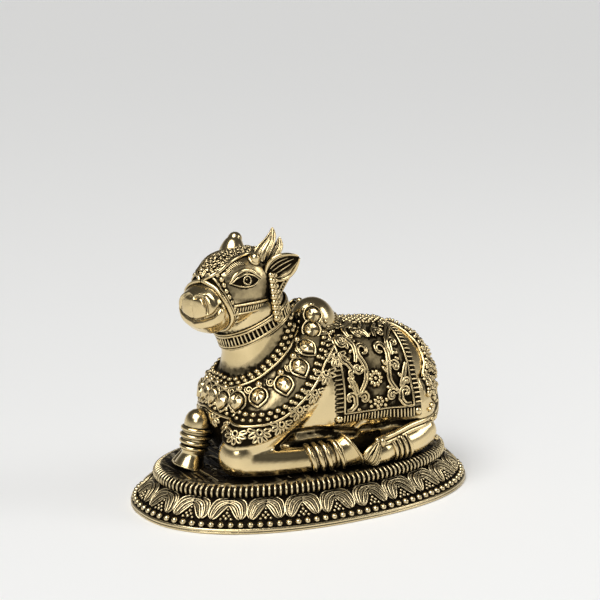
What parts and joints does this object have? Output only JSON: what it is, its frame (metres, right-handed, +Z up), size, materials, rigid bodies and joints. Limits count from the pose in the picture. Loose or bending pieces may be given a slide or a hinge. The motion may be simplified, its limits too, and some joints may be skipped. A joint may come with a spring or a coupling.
{
  "type": "nandi bull figure",
  "caption": "Brass figure of a garlanded bull lying with one knee raised on an oval lotus plinth, with a flat underside to stand on.",
  "frame": {"origin": "centre of the plinth's underside", "axes": "+X the way the bull faces, +Y its left side, +Z up"},
  "size_m": [0.164, 0.106, 0.1256],
  "materials": {
    "polished_brass": "polished, with dark patina in the carving",
    "aged_brass": "worn bright on the raised work, near black in the grounds"
  },
  "bodies": {
    "root": {"bull": "polished_brass", "plinth": "aged_brass"}
  },
  "joints": []
}
